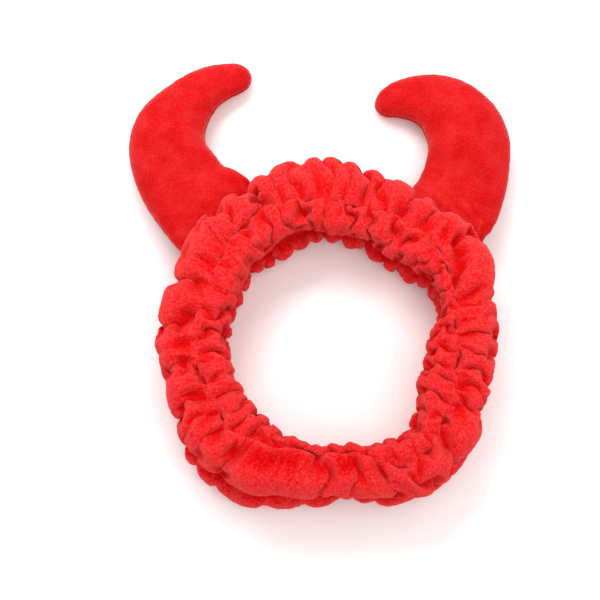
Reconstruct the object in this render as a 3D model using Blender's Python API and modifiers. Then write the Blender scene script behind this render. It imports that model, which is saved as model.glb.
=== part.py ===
"""Plush devil horns headband, lying flat as it rests on a table.

Metres, +Z up. The ring of the band lies in the XY plane, and +Y runs through the top of the band, between the
two horns. The band is a tube of fleece gathered on a hidden elastic strip: an outer layer and an inner layer meet
in a pinched seam along the upper and the lower edge of the elastic. Each layer swells into two rows of puffs with
a waist between them, and the stuffed horns are sewn into the outer layer's waist.
"""

import math
from collections import namedtuple

import bmesh
import bpy
from mathutils import Vector

# Driving sizes of the band
SEAM_RADIUS = 0.0617
BAND_HEIGHT = 0.0420
OUTER_REACH = 0.0183
INNER_REACH = 0.0155
FLEECE_WALL = 0.0024
FOLD_DEPTH = 0.0034
REST_PRESS = 0.0016
CLEARANCE = 0.0004

# Driving sizes of the elastic strip inside the band
ELASTIC_THICKNESS = 0.0015
ELASTIC_TUCK = 0.75
ELASTIC_STEPS = 60

# Driving sizes of the horns
HORN_LENGTH = 0.0998
HORN_HALF_WIDTH = 0.0206
HORN_HALF_THICKNESS = 0.0125
HORN_SEAM_GAP = 0.0014
HORN_ANGLE = 45.0

# How finely the faceted solids are cut
FOLD_STEP_DEG = 3.4
HORN_SIDES = 8
HORN_STATIONS = 15
HORN_SMOOTHING = 1
CAGE_SHRINK = 0.925

FLEECE_RED = (0.83, 0.016, 0.014, 1.0)
HORN_RED = (0.80, 0.012, 0.011, 1.0)
ELASTIC_RED = (0.60, 0.010, 0.010, 1.0)

# One row for each line of points across a layer, from its upper seam over the upper puff, the waist and the lower
# puff to its lower seam. across is a share of the layer's reach, height a share of BAND_HEIGHT, low how far the
# line belongs to the lower row of puffs, and fold how much of a fold's depth shows there.
SectionRow = namedtuple("SectionRow", "across height low fold")
SECTION = [
    SectionRow(0.00, 0.87, 0.0, 0.10),
    SectionRow(0.15, 0.95, 0.0, 0.50),
    SectionRow(0.50, 1.00, 0.0, 1.00),
    SectionRow(0.84, 0.94, 0.0, 1.00),
    SectionRow(1.00, 0.76, 0.0, 0.90),
    SectionRow(0.74, 0.50, 0.5, 0.20),
    SectionRow(1.00, 0.24, 1.0, 0.90),
    SectionRow(0.82, 0.02, 1.0, 0.90),
    SectionRow(0.40, 0.00, 1.0, 0.80),
    SectionRow(0.13, 0.05, 1.0, 0.50),
    SectionRow(0.00, 0.13, 1.0, 0.10),
]
UPPER_CROWN = 4
WAIST = 5
LOWER_SEAM = 10

# One row for every 15 degrees, clockwise from the top of the band. seam is a share of SEAM_RADIUS, the outer
# columns are shares of OUTER_REACH and the inner ones of INNER_REACH, upper row of puffs and lower row.
RingRow = namedtuple("RingRow", "seam outer_up outer_low inner_up inner_low")
RING = [
    RingRow(1.02, 1.24, 1.12, 0.92, 0.84),
    RingRow(1.02, 1.08, 1.00, 0.94, 0.98),
    RingRow(1.02, 1.04, 0.98, 1.04, 1.10),
    RingRow(1.02, 1.06, 1.00, 0.97, 1.10),
    RingRow(1.00, 1.24, 1.16, 0.66, 0.74),
    RingRow(0.95, 1.08, 1.04, 0.56, 0.62),
    RingRow(0.94, 1.12, 1.06, 0.78, 0.82),
    RingRow(0.95, 1.02, 0.96, 0.89, 0.93),
    RingRow(1.01, 0.94, 0.92, 1.10, 1.10),
    RingRow(1.08, 0.98, 0.92, 0.74, 0.90),
    RingRow(1.12, 0.88, 0.84, 0.93, 0.96),
    RingRow(1.00, 0.88, 0.90, 0.60, 0.62),
    RingRow(0.95, 0.90, 0.96, 0.56, 0.58),
    RingRow(0.96, 1.00, 1.17, 0.56, 0.58),
    RingRow(1.01, 1.12, 1.37, 0.78, 0.76),
    RingRow(1.04, 1.08, 1.29, 1.06, 1.03),
    RingRow(1.02, 1.10, 1.10, 0.92, 0.94),
    RingRow(1.02, 0.92, 0.92, 1.02, 0.98),
    RingRow(1.02, 1.04, 1.02, 0.95, 0.95),
    RingRow(0.99, 1.04, 0.98, 0.90, 0.92),
    RingRow(0.99, 1.12, 1.04, 0.86, 0.88),
    RingRow(1.03, 1.06, 0.98, 0.90, 0.96),
    RingRow(1.06, 0.99, 0.95, 0.92, 1.24),
    RingRow(1.06, 1.12, 1.04, 0.82, 1.06),
]

# One row for every crease between two puffs, in degrees clockwise from the top. seam is where it leaves the
# pinched seam, edge where it crosses the crown of the upper row, and up and low are shares of FOLD_DEPTH.
Fold = namedtuple("Fold", "seam edge up low")
OUTER_FOLDS = [
    Fold(5, 4, 0.6, 0.8),
    Fold(13, 13, 1.0, 0.9),
    Fold(23, 21, 0.8, 0.7),
    Fold(29, 29, 0.9, 0.6),
    Fold(40, 40, 0.8, 0.7),
    Fold(53, 51, 0.8, 0.9),
    Fold(67, 59, 1.0, 0.8),
    Fold(79, 79, 0.5, 0.7),
    Fold(91, 91, 0.9, 0.8),
    Fold(98, 97, 0.6, 0.8),
    Fold(106, 105, 0.6, 0.6),
    Fold(113, 112, 0.8, 0.7),
    Fold(120, 120, 0.9, 0.8),
    Fold(129, 132, 1.0, 0.8),
    Fold(142, 141, 0.4, 0.7),
    Fold(158, 150, 1.0, 0.6),
    Fold(164, 162, 0.8, 0.6),
    Fold(171, 171, 0.4, 0.5),
    Fold(189, 186, 0.5, 0.6),
    Fold(204, 203, 0.2, 0.6),
    Fold(219, 221, 1.0, 0.8),
    Fold(227, 229, 0.6, 0.7),
    Fold(235, 236, 0.8, 0.8),
    Fold(244, 243, 0.7, 0.8),
    Fold(255, 254, 0.9, 0.7),
    Fold(265, 264, 0.4, 0.6),
    Fold(280, 274, 1.0, 0.8),
    Fold(291, 289, 1.0, 0.9),
    Fold(301, 301, 0.5, 0.6),
    Fold(310, 309, 0.5, 0.5),
    Fold(319, 318, 0.6, 0.6),
    Fold(331, 334, 1.0, 0.7),
    Fold(340, 341, 0.6, 0.7),
    Fold(348, 348, 0.8, 0.8),
    Fold(357, 357, 0.7, 0.9),
]
INNER_FOLDS = [
    Fold(7, 7, 0.8, 0.7),
    Fold(19, 19, 0.9, 0.8),
    Fold(31, 30, 0.9, 0.8),
    Fold(41, 41, 0.9, 0.7),
    Fold(50, 50, 0.5, 0.7),
    Fold(57, 57, 1.0, 0.8),
    Fold(67, 68, 0.4, 0.6),
    Fold(78, 78, 0.9, 0.8),
    Fold(88, 90, 0.8, 0.8),
    Fold(98, 98, 0.4, 0.6),
    Fold(106, 106, 0.6, 0.7),
    Fold(113, 112, 0.5, 0.7),
    Fold(121, 121, 0.7, 0.8),
    Fold(129, 129, 0.5, 0.6),
    Fold(137, 138, 0.8, 0.7),
    Fold(146, 146, 0.4, 0.6),
    Fold(155, 155, 0.6, 0.6),
    Fold(163, 163, 0.7, 0.6),
    Fold(172, 172, 0.4, 0.5),
    Fold(183, 183, 0.5, 0.5),
    Fold(195, 196, 0.3, 0.5),
    Fold(206, 207, 0.4, 0.6),
    Fold(215, 214, 0.8, 0.7),
    Fold(226, 225, 0.9, 0.8),
    Fold(233, 233, 0.5, 0.7),
    Fold(240, 240, 0.6, 0.7),
    Fold(249, 249, 0.5, 0.6),
    Fold(258, 258, 0.7, 0.8),
    Fold(269, 269, 0.9, 0.8),
    Fold(281, 281, 0.8, 0.7),
    Fold(292, 292, 0.6, 0.7),
    Fold(303, 303, 0.4, 0.6),
    Fold(312, 312, 0.5, 0.7),
    Fold(320, 320, 0.5, 0.7),
    Fold(329, 328, 0.8, 0.8),
    Fold(338, 338, 0.9, 0.8),
    Fold(347, 347, 1.0, 0.8),
    Fold(357, 357, 0.6, 0.7),
]

# One row for each station of a horn, from its sewn base to its tip. out is measured away from the band and in
# towards the other horn, both as shares of HORN_LENGTH. wide and thick are shares of the half width and half
# thickness, and floor says how far the station has sunk from the band's waist to the table.
HornRow = namedtuple("HornRow", "out in_ wide thick floor")
LEFT_HORN = [
    HornRow(0.000, 0.005, 1.13, 0.30, 0.0),
    HornRow(0.090, 0.015, 1.12, 0.60, 0.1),
    HornRow(0.182, 0.032, 1.08, 0.84, 0.5),
    HornRow(0.298, 0.052, 1.02, 1.00, 0.9),
    HornRow(0.405, 0.098, 0.94, 1.02, 1.0),
    HornRow(0.472, 0.149, 0.87, 1.00, 1.0),
    HornRow(0.516, 0.214, 0.80, 0.94, 1.0),
    HornRow(0.545, 0.292, 0.69, 0.86, 1.0),
    HornRow(0.551, 0.371, 0.58, 0.76, 1.0),
    HornRow(0.546, 0.453, 0.51, 0.68, 1.0),
    HornRow(0.515, 0.534, 0.44, 0.60, 1.0),
    HornRow(0.482, 0.600, 0.37, 0.52, 1.0),
    HornRow(0.434, 0.662, 0.27, 0.42, 1.0),
]
RIGHT_HORN = [
    HornRow(0.000, 0.010, 1.10, 0.30, 0.0),
    HornRow(0.066, 0.038, 1.08, 0.60, 0.1),
    HornRow(0.146, 0.070, 1.03, 0.84, 0.5),
    HornRow(0.230, 0.110, 0.99, 0.98, 0.9),
    HornRow(0.308, 0.162, 0.97, 1.04, 1.0),
    HornRow(0.366, 0.218, 0.95, 1.04, 1.0),
    HornRow(0.408, 0.281, 0.92, 1.00, 1.0),
    HornRow(0.430, 0.354, 0.85, 0.94, 1.0),
    HornRow(0.427, 0.432, 0.74, 0.86, 1.0),
    HornRow(0.400, 0.510, 0.62, 0.78, 1.0),
    HornRow(0.349, 0.577, 0.50, 0.70, 1.0),
    HornRow(0.294, 0.634, 0.42, 0.60, 1.0),
    HornRow(0.252, 0.660, 0.35, 0.50, 1.0),
    HornRow(0.207, 0.683, 0.26, 0.40, 1.0),
]


def clear_scene():
    """Remove every object that the file opens with."""
    for obj in list(bpy.data.objects):
        bpy.data.objects.remove(obj)


def smoothed(values, place, closed):
    """Value at a place along evenly spaced values, on a Catmull-Rom curve through them."""
    count = len(values)
    start = math.floor(place)
    share = place - start
    if closed:
        a, b, c, d = (values[(start + k) % count] for k in (-1, 0, 1, 2))
    else:
        start = min(max(start, 0), count - 2)
        share = place - start
        a, b, c, d = (values[min(max(start + k, 0), count - 1)] for k in (-1, 0, 1, 2))
    bend = 2 * a - 5 * b + 4 * c - d
    twist = 3 * b - a - 3 * c + d
    return b + 0.5 * share * (c - a + share * (bend + share * twist))


def ring_value(column, degrees):
    """Value of a column of the RING table at an angle."""
    rows = [getattr(row, column) for row in RING]
    return smoothed(rows, degrees * len(RING) / 360, closed=True)


def seam_radius(degrees):
    """Distance of the pinched seam from the middle of the ring."""
    return SEAM_RADIUS * ring_value("seam", degrees)


def section_point(side, degrees, row, crease):
    """Where a layer's surface lies at an angle round the ring, on one line of its section.

    side is 1 for the outer layer and -1 for the inner one. crease is how deep the surface lies in a fold there.
    Returns the distance from the ring's middle and the height above the table.
    """
    layer, reach = ("outer", OUTER_REACH) if side > 0 else ("inner", INNER_REACH)
    up, low = ring_value(layer + "_up", degrees), ring_value(layer + "_low", degrees)
    reach *= up + (low - up) * row.low
    across = reach * row.across
    height = BAND_HEIGHT * row.height
    to_core = Vector((0.3 * reach - across, 0.5 * BAND_HEIGHT - height)).normalized()
    across += to_core.x * crease * row.fold
    height += to_core.y * crease * row.fold
    return seam_radius(degrees) + side * (across + CLEARANCE / 2), max(height - REST_PRESS, 0.0)


def smooth_step(share):
    """0 below 0, 1 above 1, and an even rise between."""
    share = min(max(share, 0.0), 1.0)
    return share * share * (3 - 2 * share)


def fold_columns(folds):
    """Columns of the layer's mesh, as (crease before, crease after, share of the way between them)."""
    columns = []
    for number, fold in enumerate(folds):
        following = folds[(number + 1) % len(folds)]
        width = (following.seam - fold.seam) % 360
        steps = max(2, round(width / FOLD_STEP_DEG))
        columns += [(fold, following, step / steps) for step in range(steps)]
    return columns


def column_angle(column, row):
    """Angle of a column where it crosses this line of the section: a fold may slant across its puff."""
    before, after, share = column
    slant = 4 * row.across * (1 - row.across) if row.low == 0 and row.across < 0.5 else row.fold
    first = before.seam + (before.edge - before.seam) * slant
    second = after.seam + (after.edge - after.seam) * slant
    return first + ((second - first) % 360) * share


def column_crease(column, row):
    """Depth of the surface in its fold: full in a crease, and none on the crown of a puff."""
    before, after, share = column
    first = before.up + (before.low - before.up) * row.low
    second = after.up + (after.low - after.up) * row.low
    crown = math.sin(math.pi * share) ** 0.7
    return FOLD_DEPTH * (first + (second - first) * share) * (1 - crown)


def on_ring(degrees, radius, height):
    """Point at an angle clockwise from the top of the ring."""
    turn = math.radians(degrees)
    return Vector((radius * math.sin(turn), radius * math.cos(turn), height))


def loft(name, rings, closed_around, capped, parts):
    """Object with a quad between each pair of neighbouring points of neighbouring rings.

    closed_around joins the last ring to the first, as round the band. capped closes the first and the last ring
    with a face, as on a horn, whose first ring stays a crisp edge. Otherwise each ring is an open line.
    """
    mesh = bmesh.new()
    rows = [[mesh.verts.new(point) for point in ring] for ring in rings]
    following = rows[1:] + rows[:1] if closed_around else rows[1:]
    sides = len(rows[0]) if capped else len(rows[0]) - 1
    for row, after in zip(rows, following):
        for side in range(sides):
            beside = (side + 1) % len(row)
            mesh.faces.new((row[side], row[beside], after[beside], after[side]))
    if capped:
        crease = mesh.edges.layers.float.new("crease_edge")
        for edge in mesh.faces.new(rows[0]).edges:
            edge[crease] = 1.0
        mesh.faces.new(rows[-1])
    bmesh.ops.recalc_face_normals(mesh, faces=mesh.faces)
    data = bpy.data.meshes.new(name)
    mesh.to_mesh(data)
    mesh.free()
    data.shade_smooth()
    made = bpy.data.objects.new(name, data)
    parts.objects.link(made)
    return made


def principled(name, color, roughness, sheen):
    """Material of a dyed cloth."""
    material = bpy.data.materials.new(name)
    material.use_nodes = True
    shader = material.node_tree.nodes["Principled BSDF"]
    shader.inputs["Base Color"].default_value = color
    shader.inputs["Roughness"].default_value = roughness
    shader.inputs["Metallic"].default_value = 0.0
    shader.inputs["Sheen Weight"].default_value = sheen
    material.diffuse_color = color
    return material


def thicken(obj, thickness, offset):
    """Give an open sheet its wall: offset -1 keeps the sheet as the outer face, and 0 as the middle."""
    wall = obj.modifiers.new("wall", "SOLIDIFY")
    wall.thickness = thickness
    wall.offset = offset
    wall.use_rim = True


def make_layer(name, side, folds, material, parts):
    """One fleece layer of the band, from its upper seam over both rows of puffs to its lower seam."""
    sections = []
    for column in fold_columns(folds):
        line = []
        for row in SECTION:
            degrees = column_angle(column, row)
            radius, height = section_point(side, degrees, row, column_crease(column, row))
            line.append(on_ring(degrees, radius, height))
        sections.append(line)
    layer = loft(name, sections, closed_around=True, capped=False, parts=parts)
    face_away(layer, side)
    thicken(layer, FLEECE_WALL, offset=-1)
    layer.data.materials.append(material)
    return layer


def face_away(layer, side):
    """Turn the sheet's faces away from the hollow of the tube."""
    mesh = bmesh.new()
    mesh.from_mesh(layer.data)
    outward = sum(side * face.normal.dot(Vector((*face.calc_center_median().xy, 0))) for face in mesh.faces)
    if outward < 0:
        bmesh.ops.reverse_faces(mesh, faces=mesh.faces)
    mesh.to_mesh(layer.data)
    mesh.free()


def make_elastic(material, parts):
    """The elastic strip that gathers the fleece, standing on edge between the two seams."""
    inset = ELASTIC_TUCK * FLEECE_WALL + CLEARANCE
    lines = []
    for step in range(ELASTIC_STEPS):
        degrees = 360 * step / ELASTIC_STEPS
        radius = seam_radius(degrees)
        top = section_point(1, degrees, SECTION[0], 0.0)[1] - inset
        bottom = section_point(1, degrees, SECTION[LOWER_SEAM], 0.0)[1] + inset
        lines.append([on_ring(degrees, radius, bottom), on_ring(degrees, radius, top)])
    strip = loft("elastic_strip", lines, closed_around=True, capped=False, parts=parts)
    thicken(strip, ELASTIC_THICKNESS, offset=0)
    strip.data.materials.append(material)
    return strip


def waist_radius(degrees):
    """Distance of the outer layer's waist from the middle of the ring, on the crown of a puff."""
    return section_point(1, degrees, SECTION[WAIST], 0.0)[0]


def valley_room(degrees, radius):
    """Height free above and below the waist at this distance from the ring's middle, between the two puffs."""
    waist, middle = section_point(1, degrees, SECTION[WAIST], 0.0)
    rooms = []
    for crown in (SECTION[UPPER_CROWN], SECTION[UPPER_CROWN + 2]):
        edge, height = section_point(1, degrees, crown, 0.0)
        rooms.append(abs(height - middle) * (radius - waist) / (edge - waist))
        if radius > edge - CLEARANCE:
            rooms[-1] = BAND_HEIGHT
    return min(rooms)


def horn_stations(table):
    """The horn's table read at evenly spaced places, as (row, share of the way along)."""
    stations = []
    for number in range(HORN_STATIONS):
        share = number / (HORN_STATIONS - 1)
        place = share * (len(table) - 1)
        row = HornRow(*(smoothed(column, place, closed=False) for column in zip(*table)))
        stations.append((row, share))
    return stations


def horn_frame(table, place):
    """Direction of the horn's middle line, as (out, in), at a place along its table."""
    step = 0.05
    outs = [row.out for row in table]
    ins = [row.in_ for row in table]
    ahead, behind = place + step, place - step
    heading = Vector((
        smoothed(outs, ahead, closed=False) - smoothed(outs, behind, closed=False),
        smoothed(ins, ahead, closed=False) - smoothed(ins, behind, closed=False),
    ))
    return heading.normalized()


def horn_point(hand, row, heading, around, seat):
    """Point of the cage round the horn's skin. hand is -1 for the left horn and 1 for the right one."""
    full = CAGE_SHRINK + (1 - CAGE_SHRINK) * smooth_step(1 - row.out / 0.05)
    across = HORN_HALF_WIDTH / full * row.wide * math.cos(around)
    half = HORN_HALF_THICKNESS / full * row.thick
    thick = half * math.copysign(abs(math.sin(around)) ** 0.85, math.sin(around))
    out = HORN_LENGTH * row.out - across * heading.y
    inwards = HORN_LENGTH * row.in_ + across * heading.x
    bent = smooth_step(1 - row.out / 0.25)
    out -= bent * inwards * inwards / (2 * seat)
    turn = math.radians(HORN_ANGLE)
    along = Vector((hand * math.sin(turn), math.cos(turn)))
    beside = Vector((-hand * math.cos(turn), math.sin(turn)))
    place = along * (seat + out) + beside * inwards
    waist = BAND_HEIGHT / 2 - REST_PRESS
    middle = waist + (half - REST_PRESS / 2 - waist) * smooth_step(row.floor)
    return seated(place, middle + thick)


def seated(place, height):
    """Keep a point of the horn clear of the band: outside its waist, and between its two rows of puffs."""
    degrees = math.degrees(math.atan2(place.x, place.y))
    radius = place.length
    nearest = waist_radius(degrees) + HORN_SEAM_GAP
    if radius < nearest:
        place = place * (nearest / radius)
        radius = nearest
    waist = BAND_HEIGHT / 2 - REST_PRESS
    room = max(valley_room(degrees, radius) - 4 * CLEARANCE, CLEARANCE)
    height = min(max(height, waist - room), waist + room)
    return Vector((*place, max(height, 0.0)))


def make_horn(name, hand, table, material, parts):
    """A stuffed horn: a flat crescent of two sewn panels, swelling between its edges."""
    seat = waist_radius(hand * HORN_ANGLE) + HORN_SEAM_GAP
    rings = []
    for row, share in horn_stations(table):
        heading = horn_frame(table, share * (len(table) - 1))
        rings.append([
            horn_point(hand, row, heading, 2 * math.pi * side / HORN_SIDES, seat)
            for side in range(HORN_SIDES)
        ])
    horn = loft(name, rings, closed_around=False, capped=True, parts=parts)
    soft = horn.modifiers.new("stuffing", "SUBSURF")
    soft.levels = HORN_SMOOTHING
    soft.render_levels = HORN_SMOOTHING
    horn.data.materials.append(material)
    return horn


def stand_on_origin(objects, root):
    """Carry all objects on one empty, placed so that the middle of their underside is at the origin."""
    bpy.context.view_layer.update()
    graph = bpy.context.evaluated_depsgraph_get()
    corners = []
    for obj in objects:
        shown = obj.evaluated_get(graph)
        corners += [shown.matrix_world @ vertex.co for vertex in shown.to_mesh().vertices]
        shown.to_mesh_clear()
    middle = [(min(values) + max(values)) / 2 for values in zip(*corners)]
    root.location = (-middle[0], -middle[1], -min(corner.z for corner in corners))
    for obj in objects:
        obj.parent = root


def main():
    """Build the headband."""
    clear_scene()
    parts = bpy.data.collections.new("devil_horns_headband")
    bpy.context.scene.collection.children.link(parts)
    fleece = principled("coral_fleece", FLEECE_RED, 0.95, 0.6)
    velvet = principled("short_pile_velvet", HORN_RED, 0.9, 0.5)
    woven = principled("woven_elastic", ELASTIC_RED, 0.8, 0.0)
    objects = [
        make_layer("outer_layer", 1, OUTER_FOLDS, fleece, parts),
        make_layer("inner_layer", -1, INNER_FOLDS, fleece, parts),
        make_elastic(woven, parts),
        make_horn("left_horn", -1, LEFT_HORN, velvet, parts),
        make_horn("right_horn", 1, RIGHT_HORN, velvet, parts),
    ]
    root = bpy.data.objects.new("headband", None)
    parts.objects.link(root)
    stand_on_origin(objects, root)


main()
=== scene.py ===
"""Studio scene of a plush devil horns headband, lying flat on a pale table and seen from above.

The band is a tube of coral fleece gathered on a hidden elastic strip, with two rows of puffs on its
outer layer and two on its inner one. Two stuffed horns of short-pile velvet are sewn into the outer
layer's waist. Everything is in metres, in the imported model's frame: the ring lies in the XY plane, and
+Y runs through the top of the band.
"""

import logging
import math
from dataclasses import dataclass, field
from enum import Enum
from typing import NamedTuple

import bmesh
import bpy
import numpy as np
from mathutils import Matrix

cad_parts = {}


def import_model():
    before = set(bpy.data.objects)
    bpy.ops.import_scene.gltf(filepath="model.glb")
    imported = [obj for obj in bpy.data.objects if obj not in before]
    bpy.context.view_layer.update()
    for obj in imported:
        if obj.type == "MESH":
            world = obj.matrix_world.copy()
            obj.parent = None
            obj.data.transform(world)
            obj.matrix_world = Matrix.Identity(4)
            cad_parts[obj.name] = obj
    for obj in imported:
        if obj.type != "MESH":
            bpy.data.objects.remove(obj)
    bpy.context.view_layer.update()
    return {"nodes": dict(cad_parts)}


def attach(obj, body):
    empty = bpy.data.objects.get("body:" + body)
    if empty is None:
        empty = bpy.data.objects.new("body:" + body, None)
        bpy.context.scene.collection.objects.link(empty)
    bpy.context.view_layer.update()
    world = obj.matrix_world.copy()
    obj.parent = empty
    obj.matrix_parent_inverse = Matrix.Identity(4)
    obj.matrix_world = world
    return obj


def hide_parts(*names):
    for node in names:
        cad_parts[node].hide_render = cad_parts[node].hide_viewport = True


LOG = logging.getLogger("devil_horns_headband")

MM = 0.001
RING_MIDDLE = (0.00547, -0.03054)
SEAM_RADIUS = 0.0617
BAND_HEIGHT = 0.0420
OUTER_REACH = 0.0183
INNER_REACH = 0.0155
REST_PRESS = 0.0016
SEAM_CLEARANCE = 0.0004
HORN_LENGTH = 0.0998
HORN_HALF_WIDTH = 0.0206
HORN_HALF_THICKNESS = 0.0125
HORN_SEAM_GAP = 0.0014
HORN_TUCK = 0.0030
HORN_ANGLE = 45.0
UV_UNIT = 0.010
TABLE_DROP = 0.0002
# Bands in one unit of length of a wave texture at scale 1.
WAVE_BANDS = 10 / math.pi


class SectionRow(NamedTuple):
    """One line of points across a layer, as shares of its reach and of the band's height."""

    across: float
    height: float
    low: float
    fold: float


class RingRow(NamedTuple):
    """The section at one angle: shares of the seam's radius and of the reach of each row of puffs."""

    seam: float
    outer_up: float
    outer_low: float
    inner_up: float
    inner_low: float


class Fold(NamedTuple):
    """A crease between two puffs: degrees clockwise from the top, its depth on the upper and lower row,
    and how many degrees it leans from the seam to the band's edge.
    """

    seam: float
    up: float
    low: float
    lean: float = 0


class HornRow(NamedTuple):
    """One station of a horn: place as shares of its length, width, thickness, and sinking to the table."""

    out: float
    inwards: float
    wide: float
    thick: float
    floor: float


SECTION = (
    SectionRow(0.00, 0.87, 0.0, 0.10),
    SectionRow(0.15, 0.95, 0.0, 0.50),
    SectionRow(0.50, 1.00, 0.0, 1.00),
    SectionRow(0.84, 0.94, 0.0, 1.00),
    SectionRow(1.00, 0.76, 0.0, 0.90),
    SectionRow(0.74, 0.50, 0.5, 0.20),
    SectionRow(1.00, 0.24, 1.0, 0.90),
    SectionRow(0.82, 0.02, 1.0, 0.90),
    SectionRow(0.40, 0.00, 1.0, 0.80),
    SectionRow(0.13, 0.05, 1.0, 0.50),
    SectionRow(0.00, 0.13, 1.0, 0.10),
)

# Every 15 degrees, clockwise from the top of the band.
RING = (
    RingRow(1.02, 1.26, 1.14, 0.90, 0.78),
    RingRow(1.02, 1.08, 1.00, 0.93, 0.97),
    RingRow(1.02, 1.04, 0.98, 1.03, 1.08),
    RingRow(1.02, 1.06, 1.00, 0.96, 1.08),
    RingRow(1.00, 1.36, 1.20, 0.56, 0.62),
    RingRow(0.95, 1.04, 1.00, 0.42, 0.48),
    RingRow(0.94, 1.12, 1.06, 0.76, 0.80),
    RingRow(0.95, 1.02, 0.96, 0.87, 0.91),
    RingRow(1.01, 0.94, 0.92, 1.10, 1.10),
    RingRow(1.08, 0.98, 0.92, 0.69, 0.88),
    RingRow(1.12, 0.88, 0.84, 0.92, 0.95),
    RingRow(0.97, 0.97, 0.99, 0.48, 0.48),
    RingRow(0.91, 1.02, 1.06, 0.37, 0.38),
    RingRow(0.92, 1.12, 1.28, 0.35, 0.36),
    RingRow(0.98, 1.21, 1.45, 0.64, 0.60),
    RingRow(1.04, 1.08, 1.28, 1.08, 1.04),
    RingRow(1.02, 1.12, 1.12, 0.90, 0.92),
    RingRow(1.02, 0.92, 0.92, 1.02, 0.98),
    RingRow(1.02, 1.04, 1.02, 0.93, 0.93),
    RingRow(0.99, 1.02, 0.96, 0.88, 0.90),
    RingRow(0.99, 1.12, 1.04, 0.82, 0.82),
    RingRow(1.03, 1.06, 0.98, 0.88, 0.92),
    RingRow(1.06, 0.98, 0.94, 0.92, 1.24),
    RingRow(1.06, 1.14, 1.06, 0.80, 1.02),
)

OUTER_FOLDS = (
    Fold(5, 0.6, 0.8, -1),
    Fold(13, 1.0, 0.9),
    Fold(23, 0.8, 0.7, -2),
    Fold(29, 0.9, 0.6),
    Fold(40, 0.8, 0.7),
    Fold(53, 0.4, 0.9, -4),
    Fold(69, 1.2, 0.8, -15),
    Fold(76, 0.6, 0.7, 2),
    Fold(84, 0.3, 0.4),
    Fold(91, 0.9, 0.8),
    Fold(98, 0.6, 0.8, -1),
    Fold(106, 0.6, 0.6, -1),
    Fold(113, 0.8, 0.7, -1),
    Fold(120, 0.9, 0.8),
    Fold(128, 1.0, 0.8, 9),
    Fold(139, 0.9, 0.7, 10),
    Fold(152, 0.5, 0.6, 3),
    Fold(164, 1.0, 0.6, -5),
    Fold(175, 0.3, 0.5, -3),
    Fold(188, 0.7, 0.6, -4),
    Fold(204, 0.0, 0.6, -1),
    Fold(219, 1.0, 0.8, 2),
    Fold(227, 0.6, 0.7, 2),
    Fold(235, 0.8, 0.8, 1),
    Fold(242, 0.9, 0.8, 1),
    Fold(257, 1.1, 0.7, 1),
    Fold(265, 0.4, 0.6, -1),
    Fold(280, 1.0, 0.8, -6),
    Fold(291, 1.0, 0.9, -2),
    Fold(301, 0.5, 0.6),
    Fold(310, 0.5, 0.5, -1),
    Fold(319, 0.6, 0.6, -1),
    Fold(331, 1.6, 0.7, 1),
    Fold(340, 0.6, 0.7, 1),
    Fold(348, 0.8, 0.8),
    Fold(357, 0.7, 0.9),
)

INNER_FOLDS = (
    Fold(7, 0.8, 0.7),
    Fold(19, 0.9, 0.8),
    Fold(31, 0.9, 0.8, -1),
    Fold(41, 0.9, 0.7),
    Fold(50, 0.5, 0.7),
    Fold(57, 1.0, 0.8),
    Fold(67, 0.4, 0.6, 1),
    Fold(78, 0.9, 0.8),
    Fold(88, 0.8, 0.8, 2),
    Fold(98, 0.4, 0.6),
    Fold(106, 0.6, 0.7),
    Fold(113, 0.5, 0.7, -1),
    Fold(121, 0.7, 0.8),
    Fold(129, 0.5, 0.6),
    Fold(137, 0.8, 0.7, 1),
    Fold(146, 0.4, 0.6),
    Fold(155, 0.6, 0.6),
    Fold(163, 0.7, 0.6),
    Fold(172, 0.4, 0.5),
    Fold(183, 0.5, 0.5),
    Fold(195, 0.3, 0.5, 1),
    Fold(206, 0.4, 0.6, 1),
    Fold(215, 0.8, 0.7, -1),
    Fold(226, 0.9, 0.8, -1),
    Fold(233, 0.5, 0.7),
    Fold(240, 0.6, 0.7),
    Fold(249, 0.5, 0.6),
    Fold(258, 0.7, 0.8),
    Fold(269, 0.9, 0.8),
    Fold(281, 0.8, 0.7),
    Fold(292, 0.6, 0.7),
    Fold(303, 0.4, 0.6),
    Fold(312, 0.5, 0.7),
    Fold(320, 0.5, 0.7),
    Fold(329, 0.8, 0.8, -1),
    Fold(338, 0.9, 0.8),
    Fold(347, 1.0, 0.8),
    Fold(357, 0.6, 0.7),
)

LEFT_HORN_ROWS = (
    HornRow(0.000, 0.020, 1.08, 0.30, 0.0),
    HornRow(0.088, 0.038, 1.18, 0.60, 0.1),
    HornRow(0.180, 0.028, 1.04, 0.84, 0.5),
    HornRow(0.297, 0.050, 1.00, 1.00, 0.9),
    HornRow(0.410, 0.088, 0.94, 1.02, 1.0),
    HornRow(0.475, 0.146, 0.90, 1.00, 1.0),
    HornRow(0.517, 0.214, 0.83, 0.94, 1.0),
    HornRow(0.538, 0.294, 0.71, 0.86, 1.0),
    HornRow(0.548, 0.374, 0.60, 0.76, 1.0),
    HornRow(0.546, 0.457, 0.53, 0.68, 1.0),
    HornRow(0.520, 0.539, 0.44, 0.60, 1.0),
    HornRow(0.483, 0.608, 0.37, 0.52, 1.0),
    HornRow(0.447, 0.674, 0.29, 0.42, 1.0),
)

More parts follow.
